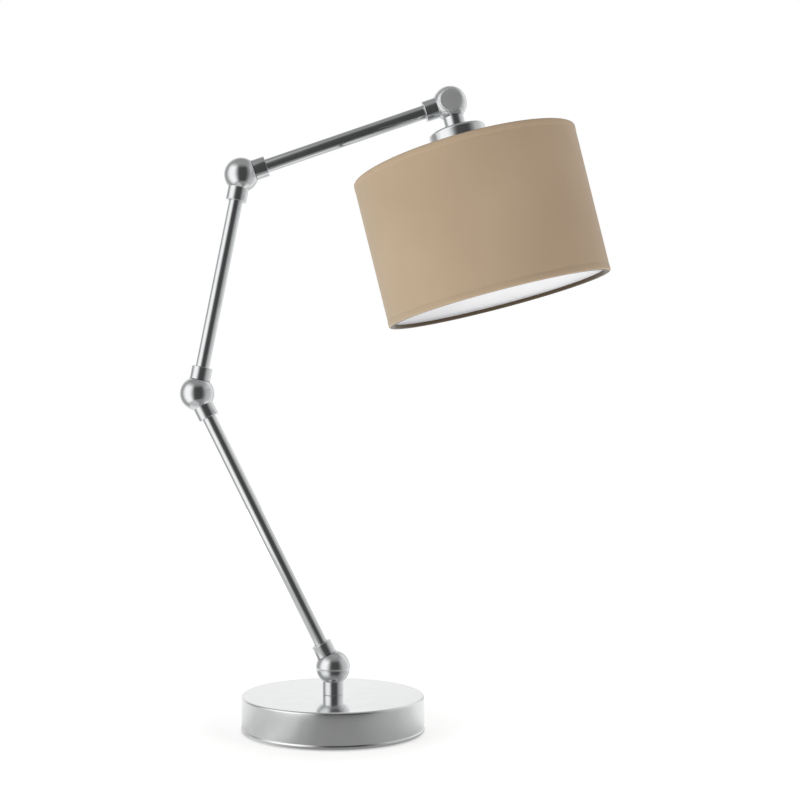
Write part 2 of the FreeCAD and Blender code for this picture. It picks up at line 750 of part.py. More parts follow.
# ---------------------------------------------------------------- the whole lamp

LOWER_KNUCKLE = ("0", "base_height + knuckle_reach")
MIDDLE_KNUCKLE = beyond(LOWER_KNUCKLE, "lower_arm_lean", "lower_arm_length")
UPPER_KNUCKLE = beyond(MIDDLE_KNUCKLE, "middle_arm_lean", "middle_arm_length")
HEAD_KNUCKLE = beyond(UPPER_KNUCKLE, "upper_arm_lean", "upper_arm_length")

make_base_cover()
make_base_weight()
make_base_fittings()
make_cord_grommet()
make_terminals()
make_base_lead()
make_post(LOWER_KNUCKLE)

make_arm("lower_arm", LOWER_KNUCKLE, MIDDLE_KNUCKLE, "lower_arm_lean", "lower_arm_length", False)
make_arm("middle_arm", MIDDLE_KNUCKLE, UPPER_KNUCKLE, "middle_arm_lean", "middle_arm_length", False)
make_arm("upper_arm", UPPER_KNUCKLE, HEAD_KNUCKLE, "upper_arm_lean", "upper_arm_length", True)

PIVOTS = (
    ("lower_pivot", leaning_frame(LOWER_KNUCKLE, "lower_arm_lean", FACING_BACK)),
    ("middle_pivot", leaning_frame(MIDDLE_KNUCKLE, "middle_arm_lean", FACING_BACK)),
    ("upper_pivot", leaning_frame(UPPER_KNUCKLE, "upper_arm_lean", FACING_BACK)),
    ("head_pivot", leaning_frame(HEAD_KNUCKLE, "upper_arm_lean", FACING_FRONT)),
)
for pivot, pivot_frame in PIVOTS:
    pivot_hardware(pivot, pivot_frame)
    pivot_cap(pivot, pivot_frame)

HEAD_FRAME = leaning_frame(HEAD_KNUCKLE, "head_lean", FACING_BACK)
for make in (make_neck, make_holder_cup, make_lampholder, make_bulb, make_shade_frame, make_shade_skin):
    make(HEAD_FRAME)

# ---------------------------------------------------------------- checks and export

doc.recompute()
failed = [thing.Name for thing in doc.Objects if {"Invalid", "Error"} & set(thing.State)]
if failed:
    raise RuntimeError(f"failed to recompute: {failed}")
for piece in nodes:
    if piece.Shape.isNull() or not piece.Shape.isValid():
        raise RuntimeError(f"{piece.Label} has no valid shape")

os.makedirs("parts", exist_ok=True)
for piece in nodes:
    piece.Shape.exportStep(f"parts/{piece.Label}.step")
    print(f"{piece.Label}: {len(piece.Shape.Solids)} solid, {piece.Shape.Volume:.0f} mm3")
print(f"{len(nodes)} nodes")
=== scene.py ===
"""Studio scene of an adjustable desk lamp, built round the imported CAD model.

Everything is in metres in the model's own frame: +Z up, +X towards the shade, +Y to the back.
Outlines are written in millimetres, as a radius and a height, and are turned about an axis.
"""
import json
import math

import bmesh
import bpy
from mathutils import Matrix, Vector

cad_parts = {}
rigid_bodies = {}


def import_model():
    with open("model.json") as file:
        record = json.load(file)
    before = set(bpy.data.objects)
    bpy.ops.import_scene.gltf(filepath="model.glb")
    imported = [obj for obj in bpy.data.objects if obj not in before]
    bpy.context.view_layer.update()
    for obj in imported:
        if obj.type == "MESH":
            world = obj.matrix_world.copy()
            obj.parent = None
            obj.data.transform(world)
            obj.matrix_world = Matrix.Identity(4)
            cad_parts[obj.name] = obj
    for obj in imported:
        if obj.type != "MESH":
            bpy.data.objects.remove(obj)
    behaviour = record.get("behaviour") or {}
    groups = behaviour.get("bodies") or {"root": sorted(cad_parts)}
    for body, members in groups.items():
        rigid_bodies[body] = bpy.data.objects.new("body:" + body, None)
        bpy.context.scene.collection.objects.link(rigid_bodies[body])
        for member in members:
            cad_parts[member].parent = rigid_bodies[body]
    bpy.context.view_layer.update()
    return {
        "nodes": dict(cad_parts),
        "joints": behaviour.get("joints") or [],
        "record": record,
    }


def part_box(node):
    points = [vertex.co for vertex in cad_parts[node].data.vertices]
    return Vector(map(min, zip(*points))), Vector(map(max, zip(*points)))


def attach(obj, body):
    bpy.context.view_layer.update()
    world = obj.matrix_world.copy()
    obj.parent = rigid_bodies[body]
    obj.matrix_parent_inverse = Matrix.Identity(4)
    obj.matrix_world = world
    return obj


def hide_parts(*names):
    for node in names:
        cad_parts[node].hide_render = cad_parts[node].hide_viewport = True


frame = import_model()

MM = 0.001
TURN = 2 * math.pi
BACK = 1
FRONT = -1

# Sizes in millimetres, the same as in the CAD model
BASE_RADIUS = 80
BASE_HEIGHT = 31
BASE_LIFT = 0.8
COVER_WALL = 1.2
BEAD_HEIGHT = 3.4
BEAD_DEPTH = 0.5
INLET_HEIGHT = 17.5
INLET_HOLE_RADIUS = 5.5
GROMMET_BORE = 3.5
GROMMET_NECK = 5.4
GROMMET_FLANGE = 7.5
GROMMET_FLANGE_THICKNESS = 2
PAD_RADIUS = 76
PAD_THICKNESS = 1.5
NIPPLE_HOLE = 5.08
BALL_RADIUS = 15
HALF_GAP = 0.3
BALL_CLEARANCE = 0.3
COLLAR_RADIUS = 9
KNUCKLE_REACH = 23.6
NECK_REACH = KNUCKLE_REACH
SEAT_DEPTH = 8
TUBE_RADIUS = 6
TUBE_BORE = 5
TUBE_SEAT = 6.05
NIPPLE_SEAT = 5.05
CAP_FLAT = 10.9
CAP_RADIUS = 10.5
CAP_THICKNESS = 2.4
CAP_SPIGOT_RADIUS = 4.65
CAP_SPIGOT_LENGTH = 1.2
CUP_RADIUS = 25
CUP_HEIGHT = 38
CUP_WALL = 1
CUP_SHOULDER = 3
HOLDER_TOP = 34
HOLDER_END = 72
HOLDER_RADIUS = 19.5
HOLDER_BORE = 15.5
INSERT_TOP = 43
INSERT_THICKNESS = 6
SOCKET_RADIUS = 14.7
SOCKET_LENGTH = 21
HUB_TOP = NECK_REACH + CUP_HEIGHT
HUB_THICKNESS = 1.5
HUB_RADIUS = 30
HUB_BORE = 19.75
CLAMP_RADIUS = 27
CLAMP_BORE = 19.55
CLAMP_HEIGHT = 6.5
BULB_TOP = 50.2
BULB_LENGTH = 78
BULB_RADIUS = 22.5
BULB_CAP_LENGTH = 27
BULB_CAP_RADIUS = 13.3
SHADE_RADIUS = 99.2
SHADE_TOP = 49.1
SHADE_HEIGHT = 129.3
SHADE_END = SHADE_TOP + SHADE_HEIGHT
LINER_RADIUS = 98.3
LINER_THICKNESS = 0.4
LINER_MARGIN = 2
WIRE_RADIUS = 1.5
RING_RADIUS = 96.2
WIRE_MARGIN = 0.2
SPOKE_TURNS = (60, 180, 300)
HEAD_LEAN = math.radians(166)

# Details in millimetres that differ a little from the CAD model's, or that it leaves out
BASE_EDGE_FILLET = 1.8
LEAD_BORE = 4.6
BORE_FLOOR = 8
CAP_BEVEL_HEIGHT = 1.0
CAP_BEVEL_WIDTH = 1.4
CAP_DISH = 0.2
HOLDER_THREAD_PITCH = 2.0
THREAD_DEPTH = 0.35
CLAMP_BEVEL = 1.5
CLAMP_RIBS = 36
CLAMP_RIB_DEPTH = 0.35
EDISON_PITCH = 3.6
BULB_THREAD_DEPTH = 0.5
BULB_WAIST = 14
BULB_WALL = 0.7
FABRIC_THICKNESS = 0.6
HEM_HEIGHT = 5
HEM_FOLD = 3.4
HEM_LIP = 1.2
HEM_STEP = 0.3
PANEL_RECESS = 0.15
SEAM_RISE = 0.1
SEAM_HALF_WIDTH = math.radians(3)
BRAZE_RADIUS = 2.0
BRAZE_REACH = 2.6

# How meshes are made. POINT_GAP keeps two points of an outline apart and is in millimetres. TINY is
# in the unit of what it is compared with, and the two distances after POINT_GAP are in metres.
SHARP_EDGE = math.radians(35)
TINY = 1e-6
POINT_GAP = 0.02
WELD_DISTANCE = 2e-6
SLIVER_LENGTH = 1e-7
KNUCKLE_COLUMNS = 48


# ---------------------------------------------------------------- places

pivots = {joint["name"]: Vector(joint["pos_m"]) for joint in frame["joints"]}
slots = {part["node"]: part["material_slot"] for part in frame["record"]["subparts"]}
body_of = {
    node: body
    for body, nodes in frame["record"]["behaviour"]["bodies"].items()
    for node in nodes
}


def axes(centre, forward, up):
    """The frame at a centre with Z along forward and Y along up."""
    across = up.cross(forward)
    matrix = Matrix((across, up, forward)).transposed().to_4x4()
    matrix.translation = centre
    return matrix


def leaning(centre, lean, facing=BACK):
    """A frame with Z along an arm that leans from upright towards +X, and Y to the back or front."""
    forward = Vector((math.sin(lean), 0, math.cos(lean)))
    return axes(centre, forward, Vector((0, facing, 0)))


def facing_frame(centre, facing):
    """A frame with Z along the hinge axis, towards the back or the front."""
    return axes(centre, Vector((0, facing, 0)), Vector((0, 0, 1)))


def lean_between(start, end):
    return math.atan2(end.x - start.x, end.z - start.z)


UPRIGHT = Matrix.Identity(4)
HEAD = leaning(pivots["head_knuckle"], HEAD_LEAN)


# ---------------------------------------------------------------- outlines and meshes

def arc(radius, start, end, steps, centre=(0, 0)):
    """Points of an arc, by its angles in degrees from the outward direction."""
    points = []
    for step in range(steps + 1):
        angle = math.radians(start + (end - start) * step / steps)
        points.append((centre[0] + radius * math.cos(angle), centre[1] + radius * math.sin(angle)))
    return points


def rounded(corners, steps=6):
    """An outline through corners, each a radius, a height and, where it is rounded, a fillet."""
    points = []
    for number, corner in enumerate(corners):
        here = Vector(corner[:2])
        if len(corner) < 3:
            points.append(tuple(here))
            continue
        fillet = corner[2]
        before = (Vector(corners[number - 1][:2]) - here).normalized()
        after = (Vector(corners[(number + 1) % len(corners)][:2]) - here).normalized()
        half = before.angle(after) / 2
        reach = fillet / math.tan(half)
        middle = here + (before + after).normalized() * (fillet / math.sin(half))
        start = here + before * reach - middle
        end = here + after * reach - middle
        for step in range(steps + 1):
            points.append(tuple(middle + start.slerp(end, step / steps).normalized() * fillet))
    return points


def thickened(line, thickness):
    """A closed outline: the line, and the same line offset to its left, in reverse."""
    inner = []
    for number, point in enumerate(line):
        before = Vector(line[max(number - 1, 0)])
        after = Vector(line[min(number + 1, len(line) - 1)])
        along = (after - before).normalized()
        inner.append((point[0] - along.y * thickness, point[1] + along.x * thickness))
    return list(line) + inner[::-1]


def lengths_along(outline):
    """The distance in metres from the outline's first point to each point."""
    lengths = [0]
    for start, end in zip(outline, outline[1:]):
        lengths.append(lengths[-1] + (Vector(end) - Vector(start)).length * MM)
    return lengths


def add_face(mesh, layer, corners):
    """Add a face from pairs of a vertex and its UV, leaving out repeated vertices."""
    kept = []
    for vertex, place in corners:
        if vertex not in [other for other, _ in kept]:
            kept.append((vertex, place))
    if len(kept) < 3:
        return
    face = mesh.faces.new([vertex for vertex, _ in kept])
    face.smooth = True
    for loop, (_, place) in zip(face.loops, kept):
        loop[layer].uv = place


def finished_mesh(name, builder):
    """Close a bmesh into a mesh with outward normals and smooth shading between sharp edges."""
    bmesh.ops.recalc_face_normals(builder, faces=builder.faces)
    mesh = bpy.data.meshes.new(name)
    builder.to_mesh(mesh)
    builder.free()
    mesh.set_sharp_from_angle(angle=SHARP_EDGE)
    return mesh


def turned(name, outline, segments=128, closed=True, swell=None):
    """A mesh turned about Z. swell(angle, radius, height) adds millimetres to a point's radius.

    An outline point on the axis is a single vertex. The mesh's first column is on the +Y side.
    """
    builder = bmesh.new()
    layer = builder.loops.layers.uv.new("UVMap")
    lengths = lengths_along(outline)
    rows = []
    for radius, height in outline:
        if radius < TINY:
            rows.append([builder.verts.new((0, 0, height * MM))] * (segments + 1))
            continue
        row = []
        for step in range(segments):
            angle = TURN * (0.25 + step / segments)
            reach = radius + (swell(angle, radius, height) if swell else 0)
            row.append(builder.verts.new((
                reach * math.cos(angle) * MM,
                reach * math.sin(angle) * MM,
                height * MM,
            )))
        rows.append(row + row[:1])
    spans = [(row, row + 1) for row in range(len(rows) - 1)]
    if closed:
        spans.append((len(rows) - 1, 0))
    for low, high in spans:
        for step in range(segments):
            corners = []
            for row, column in ((low, step), (low, step + 1), (high, step + 1), (high, step)):
                corners.append((rows[row][column], (column / segments, lengths[row])))
            add_face(builder, layer, corners)
    return finished_mesh(name, builder)


def wire(name, points, radius):
    """A round wire that bends smoothly along points in millimetres."""
    curve = bpy.data.curves.new(name, "CURVE")
    curve.dimensions = "3D"
    curve.bevel_depth = radius * MM
    curve.bevel_resolution = 4
    curve.resolution_u = 12
    curve.use_fill_caps = True
    spline = curve.splines.new("NURBS")
    spline.points.add(len(points) - 1)
    for point, place in zip(spline.points, points):
        point.co = (*(Vector(place) * MM), 1)
    spline.order_u = 3
    spline.use_endpoint_u = True
    holder = bpy.data.objects.new(name, curve)
    mesh = bpy.data.meshes.new_from_object(holder)
    bpy.data.objects.remove(holder)
    mesh.shade_smooth()
    return mesh


def joined(name, meshes):
    """One mesh made of several, which are used up."""
    builder = bmesh.new()
    for mesh in meshes:
        builder.from_mesh(mesh)
        bpy.data.meshes.remove(mesh)
    mesh = bpy.data.meshes.new(name)
    builder.to_mesh(mesh)
    builder.free()
    return mesh


def drilled(obj, cutter_mesh):
    """Cut a closed mesh out of an object's mesh."""
    cutter = bpy.data.objects.new("cutter", cutter_mesh)
    bpy.context.scene.collection.objects.link(cutter)
    modifier = obj.modifiers.new("drill", "BOOLEAN")
    modifier.object = cutter
    modifier.operation = "DIFFERENCE"
    modifier.solver = "EXACT"
    graph = bpy.context.evaluated_depsgraph_get()
    obj.data = bpy.data.meshes.new_from_object(obj.evaluated_get(graph))
    obj.modifiers.remove(modifier)
    bpy.data.objects.remove(cutter)
    obj.data.set_sharp_from_angle(angle=SHARP_EDGE)


# ---------------------------------------------------------------- material nodes

class Nodes:
    """A node tree, with short calls for its nodes and links."""

    def __init__(self, tree):
        self.tree = tree

    def node(self, kind, **settings):
        made = self.tree.nodes.new(f"ShaderNode{kind}")
        for name, value in settings.items():
            setattr(made, name, value)
        return made

    def link(self, start, end):
        self.tree.links.new(start, end)

    def maths(self, operation, first, second=0.0):
        made = self.node("Math", operation=operation)
        for socket, value in zip(made.inputs, (first, second)):
            if isinstance(value, (int, float)):
                socket.default_value = value
            else:
                self.link(value, socket)
        return made.outputs[0]

    def noise(self, vector, scale, detail=3.0, roughness=0.55):
        made = self.node("TexNoise")
        made.inputs["Scale"].default_value = scale
        made.inputs["Detail"].default_value = detail
        made.inputs["Roughness"].default_value = roughness
        self.link(vector, made.inputs["Vector"])
        return made.outputs["Fac"]

    def spread(self, value, low, high, start=0.3, end=0.7):
        """Map a value between start and end to the range from low to high."""
        made = self.node("MapRange")
        for name, number in zip(("From Min", "From Max", "To Min", "To Max"), (start, end, low, high)):
            made.inputs[name].default_value = number
        self.link(value, made.inputs["Value"])
        return made.outputs[0]

    def weighted(self, first, second, share):
        """Add two values, the first with this share of the weight and the second with the rest."""
        first_part = self.maths("MULTIPLY", first, share)
        second_part = self.maths("MULTIPLY", second, 1 - share)
        return self.maths("ADD", first_part, second_part)

    def blend(self, value, first, second):
        """Blend two colours by a value from 0 to 1."""
        made = self.node("Mix", data_type="RGBA")
        self.link(value, made.inputs[0])
        ends = [socket for socket in made.inputs if socket.type == "RGBA"]
        for socket, colour in zip(ends, (first, second)):
            if isinstance(colour, tuple):
                socket.default_value = (*colour, 1)
            else:
                self.link(colour, socket)
        return next(socket for socket in made.outputs if socket.type == "RGBA")


class Shader(Nodes):
    """The nodes of a material with one Principled surface."""

    def __init__(self, name):
        self.material = bpy.data.materials.new(name)
        self.material.use_nodes = True
        super().__init__(self.material.node_tree)
        self.surface = self.tree.nodes["Principled BSDF"]

    def set(self, **values):
        for name, value in values.items():
            self.surface.inputs[name.replace("_", " ")].default_value = value

    def colour(self, value, dark, light):
        """Colour the surface between two colours, by a value from 0 to 1."""
        self.link(self.blend(value, dark, light), self.surface.inputs["Base Color"])

    def roughness(self, value, low, high):
        """Vary the surface's roughness between two levels, by a noise."""
        self.link(self.spread(value, low, high), self.surface.inputs["Roughness"])

    def bump(self, height, depth):
        """Bump the surface by a height from 0 to 1, times a depth in metres."""
        made = self.node("Bump")
        made.inputs["Strength"].default_value = 1.0
        made.inputs["Distance"].default_value = depth
        self.link(height, made.inputs["Height"])
        self.link(made.outputs["Normal"], self.surface.inputs["Normal"])

    def object_place(self):
        return self.node("TexCoord").outputs["Object"]

    def around(self, wraps, fine):
        """Coordinates that run along the brushing of a turned piece, and close on themselves."""
        uv = self.node("SeparateXYZ")
        self.link(self.node("TexCoord").outputs["UV"], uv.inputs[0])
        angle = self.maths("MULTIPLY", uv.outputs["X"], TURN)
        place = self.node("CombineXYZ")
        self.link(self.maths("MULTIPLY", self.maths("COSINE", angle), wraps), place.inputs["X"])
        self.link(self.maths("MULTIPLY", self.maths("SINE", angle), wraps), place.inputs["Y"])
        self.link(self.maths("MULTIPLY", uv.outputs["Y"], fine), place.inputs["Z"])
        return place.outputs[0]


def brushed_metal(name, dark, light, roughness, grain, depth):
    """Plated metal with fine lines round each turned piece, and faint uneven handling marks."""
    shader = Shader(name)
    lines = shader.noise(shader.around(1.2, grain), 1.0, detail=4)
    patches = shader.noise(shader.object_place(), 60, detail=4)
    shader.colour(shader.spread(patches, 0, 1), dark, light)
    shader.roughness(shader.weighted(lines, patches, 0.5), *roughness)
    shader.bump(lines, depth)
    shader.set(Metallic=1.0)
    return shader.material


def plain_metal(name, dark, light, roughness):
    """Metal of a small fastener, with a fine grain."""
    shader = Shader(name)
    grain = shader.noise(shader.object_place(), 400, detail=5)
    shader.colour(shader.spread(grain, 0, 1), dark, light)
    shader.roughness(grain, *roughness)
    shader.bump(grain, 2e-5)
    shader.set(Metallic=1.0)
    return shader.material


def moulded(name, dark, light, roughness, scale=900, depth=1e-5, sheen=0.0):
    """Plastic, rubber, paint or foam, with a fine surface grain."""
    shader = Shader(name)
    grain = shader.noise(shader.object_place(), scale, detail=4)
    drift = shader.noise(shader.object_place(), scale / 20, detail=2)
    shader.colour(shader.spread(drift, 0, 1), dark, light)
    shader.roughness(grain, *roughness)
    shader.bump(grain, depth)
    shader.set(Sheen_Weight=sheen)
    return shader.material


def cast_iron():
    """Dark sand-cast iron of the base's weight."""
    shader = Shader("cast_weight")
    sand = shader.noise(shader.object_place(), 500, detail=6, roughness=0.7)
    shader.colour(sand, (0.05, 0.05, 0.055), (0.14, 0.14, 0.15))
    shader.roughness(sand, 0.5, 0.75)
    shader.bump(sand, 2e-4)
    return shader.material


# The shade's weave: warp yarns round the drum, and the spacing of the weft in metres
THREADS_AROUND = 1200
WEFT_SPACING = 0.0005
SHADE_DARK = (0.335, 0.250, 0.170)
SHADE_LIGHT = (0.420, 0.322, 0.222)
# The cloth folded in at the rims: the same weave in much darker colours, as painted shade
HEM_PAINTED_SHADE_DARK = (0.065, 0.045, 0.028)
HEM_PAINTED_SHADE_LIGHT = (0.095, 0.068, 0.042)


def woven_shade(name, dark, light):
    """Plain weave of fine taupe yarn, with slubs along the weft."""
    shader = Shader(name)
    uv = shader.node("SeparateXYZ")
    shader.link(shader.node("TexCoord").outputs["UV"], uv.inputs[0])
    warp = shader.maths("SINE", shader.maths("MULTIPLY", uv.outputs["X"], TURN * THREADS_AROUND / 2))
    weft = shader.maths("SINE", shader.maths("MULTIPLY", uv.outputs["Y"], math.pi / WEFT_SPACING))
    crossing = shader.maths("MULTIPLY", warp, weft)
    weave = shader.spread(crossing, 0, 1, -1, 1)
    slubs = shader.noise(shader.around(9, 2500), 1.0, detail=3)
    warp_slubs = shader.noise(shader.around(180, 60), 1.0, detail=2)
    cloudy = shader.noise(shader.object_place(), 14, detail=2)
    yarn = shader.weighted(slubs, warp_slubs, 0.5)
    height = shader.weighted(weave, yarn, 0.6)
    tone = shader.weighted(height, cloudy, 0.6)
    shader.colour(shader.spread(tone, 0, 1, 0.25, 0.75), dark, light)
    shader.roughness(yarn, 0.8, 0.95)
    shader.bump(height, 6e-5)
    shader.set(Sheen_Weight=0.25, Sheen_Roughness=0.4, Specular_IOR_Level=0.2)
    return shader.material


def opal_glass():
    """White glass of the bulb, with a faint haze."""
    shader = Shader("bulb_glass")
    haze = shader.noise(shader.object_place(), 40, detail=2)
    shader.colour(haze, (0.86, 0.86, 0.84), (0.93, 0.93, 0.91))
    shader.roughness(haze, 0.12, 0.2)
    shader.set(Subsurface_Weight=0.3, Subsurface_Scale=0.004, Coat_Weight=0.5, Coat_Roughness=0.08)
    return shader.material


def shade_lining():
    """White styrene laminate, very slightly mottled, with a faint painted glow that stands in for
    light bounced into the shade.
    """
    shader = Shader("shade_lining")
    mottle = shader.noise(shader.object_place(), 300, detail=4)
    shader.colour(mottle, (0.79, 0.79, 0.80), (0.83, 0.83, 0.84))
    shader.roughness(mottle, 0.5, 0.65)
    shader.bump(mottle, 2e-5)
    # Painted light: this emission brightens the inside of the shade, though the lining is no lamp
    shader.set(Emission_Color=(0.95, 0.94, 1.0, 1), Emission_Strength=0.08)
    return shader.material


# Each finish has its darkest and lightest colour and its range of roughness. A brushed one adds how
# fine its lines are and how deep, and a moulded one may add its grain's scale, depth and sheen.
BRUSHED = {
    "satin_nickel": ((0.72, 0.735, 0.745), (0.80, 0.81, 0.815), (0.13, 0.2), 5000, 4e-6),
    "faced_nickel": ((0.86, 0.865, 0.87), (0.92, 0.925, 0.93), (0.55, 0.66), 4000, 8e-6),
    "polished_nickel": ((0.83, 0.84, 0.845), (0.88, 0.885, 0.89), (0.09, 0.16), 3000, 2e-6),
}
PLAIN_METAL = {
    "zinc_steel": ((0.55, 0.56, 0.58), (0.68, 0.69, 0.70), (0.28, 0.45)),
    "brass": ((0.70, 0.50, 0.22), (0.80, 0.61, 0.30), (0.22, 0.38)),
    "bulb_metal": ((0.70, 0.70, 0.70), (0.80, 0.80, 0.80), (0.25, 0.4)),
}
MOULDED = {
    "base_foam": ((0.025, 0.025, 0.027), (0.045, 0.045, 0.047), (0.8, 0.95), 1500, 2e-4, 0.2),
    "grommet_rubber": ((0.018, 0.018, 0.019), (0.03, 0.03, 0.031), (0.5, 0.7), 800, 3e-5),
    "terminal_plastic": ((0.74, 0.74, 0.70), (0.80, 0.80, 0.76), (0.35, 0.5)),
    "friction_plastic": ((0.68, 0.66, 0.58), (0.75, 0.73, 0.65), (0.4, 0.55)),
    "lead_sheath": ((0.70, 0.70, 0.68), (0.78, 0.78, 0.76), (0.4, 0.55)),
    "holder_plastic": ((0.78, 0.78, 0.76), (0.86, 0.86, 0.84), (0.28, 0.4)),
    "holder_ceramic": ((0.82, 0.81, 0.77), (0.88, 0.87, 0.83), (0.15, 0.3), 300, 3e-5),
    "frame_wire": ((0.80, 0.80, 0.78), (0.86, 0.86, 0.84), (0.3, 0.45), 1200, 2e-5),
}

materials = {
    "cast_weight": cast_iron(),
    "bulb_glass": opal_glass(),
    "shade_cloth": woven_shade("shade_cloth", SHADE_DARK, SHADE_LIGHT),
    "hem_painted_shade": woven_shade("hem_painted_shade", HEM_PAINTED_SHADE_DARK, HEM_PAINTED_SHADE_LIGHT),
    "shade_lining": shade_lining(),
}
for make, finishes in ((brushed_metal, BRUSHED), (plain_metal, PLAIN_METAL), (moulded, MOULDED)):
    for name, look in finishes.items():
        materials[name] = make(name, *look)


# ---------------------------------------------------------------- pieces

def piece(node, mesh, place, finish=None):
    """Put a new mesh where a CAD node is, on the same body, with its finish or another one."""
    mesh.transform(place)
    obj = bpy.data.objects.new(f"{node}_visual", mesh)
    bpy.context.scene.collection.objects.link(obj)
    mesh.materials.clear()
    mesh.materials.append(materials[finish or slots[node]])
    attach(obj, body_of[node])
    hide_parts(node)
    return obj


def make_base_cover():
    """Spun cover with a rounded top edge, a rolled bead at its foot and a hole for the cord."""
    bulge = (BEAD_HEIGHT ** 2 / 4 + BEAD_DEPTH ** 2) / (2 * BEAD_DEPTH)
    half_turn = math.degrees(math.asin(BEAD_HEIGHT / 2 / bulge))
    middle = (BASE_RADIUS + BEAD_DEPTH - bulge, BASE_LIFT + BEAD_HEIGHT / 2)
    bead = arc(bulge, -half_turn, half_turn, 16, middle)
    cover = bead + rounded([
        (BASE_RADIUS, BASE_LIFT + BEAD_HEIGHT + POINT_GAP),
        (BASE_RADIUS, BASE_HEIGHT, BASE_EDGE_FILLET),
        (NIPPLE_HOLE, BASE_HEIGHT),
        (NIPPLE_HOLE, BASE_HEIGHT - COVER_WALL),
        (BASE_RADIUS - COVER_WALL, BASE_HEIGHT - COVER_WALL, 0.5),
        (BASE_RADIUS - COVER_WALL, BASE_LIFT, 0.4),
    ], steps=8)
    shell = piece("base_cover", turned("base_cover", cover, segments=256), UPRIGHT)
    reach = 5 * COVER_WALL
    hole = turned("inlet_hole", [
        (0, -reach),
        (INLET_HOLE_RADIUS, -reach),
        (INLET_HOLE_RADIUS, reach),
        (0, reach),
    ], segments=64, closed=False)
    hole.transform(facing_frame(Vector((0, BASE_RADIUS, INLET_HEIGHT)) * MM, BACK))
    drilled(shell, hole)


def make_base_pad():
    pad = rounded([
        (0, 0),
        (PAD_RADIUS, 0, 0.4),
        (PAD_RADIUS, PAD_THICKNESS, 0.3),
        (0, PAD_THICKNESS),
    ])
    piece("base_pad", turned("base_pad", pad, segments=192, closed=False), UPRIGHT)


def make_cord_grommet():
    """Rubber bush with a flange on each side of the cover's wall."""
    low, high = (corner.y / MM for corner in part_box("cord_grommet"))
    bush = rounded([
        (GROMMET_BORE, low, 0.4),
        (GROMMET_FLANGE, low, 0.5),
        (GROMMET_FLANGE, low + GROMMET_FLANGE_THICKNESS, 0.3),
        (GROMMET_NECK, low + GROMMET_FLANGE_THICKNESS),
        (GROMMET_NECK, high - GROMMET_FLANGE_THICKNESS),
        (GROMMET_FLANGE, high - GROMMET_FLANGE_THICKNESS, 0.2),
        (GROMMET_FLANGE, high, 0.9),
        (GROMMET_BORE, high, 0.6),
    ])
    place = facing_frame(Vector((0, 0, INLET_HEIGHT)) * MM, BACK)
    piece("cord_grommet", turned("cord_grommet", bush, segments=64), place)


def knuckle_mesh(name, reach, seat_radius, capped, fillet):
    """Half a ball in one piece with its collar, which runs along +Z from the ball's centre.

    The ball is on the +Y side of the split. Across the split the collar starts at a hollow that
    clears the other half's ball. The two sides are turned apart and then welded.
    """
    columns = KNUCKLE_COLUMNS
    blend_height = math.sqrt((BALL_RADIUS + fillet) ** 2 - (COLLAR_RADIUS + fillet) ** 2)
    tangent = math.degrees(math.atan2(blend_height, COLLAR_RADIUS + fillet))
    hollow = BALL_RADIUS + BALL_CLEARANCE
    hollow_start = math.degrees(math.acos(LEAD_BORE / hollow))
    hollow_end = math.degrees(math.acos(COLLAR_RADIUS / hollow))
    ball = arc(BALL_RADIUS, -90, tangent, 56)
    ball[0] = (0, -BALL_RADIUS)
    blend = arc(fillet, tangent + 180, 180, 8, (COLLAR_RADIUS + fillet, blend_height))[1:]
    collar = rounded([
        (COLLAR_RADIUS, blend_height),
        (COLLAR_RADIUS, reach, 0.6),
        (seat_radius, reach, 0.25),
        (seat_radius, reach - SEAT_DEPTH),
        (LEAD_BORE, reach - SEAT_DEPTH),
    ])[1:]
    face = arc(hollow, hollow_start, hollow_end, 12)
    own = ball + blend + collar + [face[0], (LEAD_BORE, BORE_FLOOR), (0, BORE_FLOOR)]
    other = face + [blend[-1]] + collar + [face[0]]

    builder = bmesh.new()
    layer = builder.loops.layers.uv.new("UVMap")
    for outline, side in ((own, 1), (other, -1)):
        lengths = lengths_along(outline)
        rows = []
        for radius, height in outline:
            row = []
            for column in range(columns + 1):
                angle = side * math.pi * column / columns
                depth = radius * math.sin(angle)
                if side > 0:
                    depth = max(depth, HALF_GAP)
                    depth = min(depth, CAP_FLAT) if capped else depth
                elif column in (0, columns):
                    depth = HALF_GAP
                point = Vector((radius * math.cos(angle), depth, height)) * MM
                row.append(builder.verts.new(point))
            rows.append(row)
        for low in range(len(rows) - 1):
            for column in range(columns):
                quad = ((low, column), (low, column + 1), (low + 1, column + 1), (low + 1, column))
                add_face(builder, layer, [
                    (rows[row][step], (side * step / columns / 2, lengths[row])) for row, step in quad
                ])
    split = ball + blend + face[::-1] + [(LEAD_BORE, BORE_FLOOR), (0, BORE_FLOOR)]
    for mirror in (1, -1):
        corners = [builder.verts.new(Vector((mirror * r, HALF_GAP, z)) * MM) for r, z in split]
        add_face(builder, layer, [(corner, (corner.co.x, corner.co.z)) for corner in corners])
    bmesh.ops.remove_doubles(builder, verts=builder.verts, dist=WELD_DISTANCE)
    bmesh.ops.dissolve_degenerate(builder, edges=builder.edges, dist=SLIVER_LENGTH)
    return finished_mesh(name, builder)


def make_knuckle(node, place, capped=False, reach=KNUCKLE_REACH, seat=TUBE_SEAT, fillet=0.5):
    """A knuckle half; a capped one has a flat for its pivot cap."""
    piece(node, knuckle_mesh(node, reach, seat, capped, fillet), place)


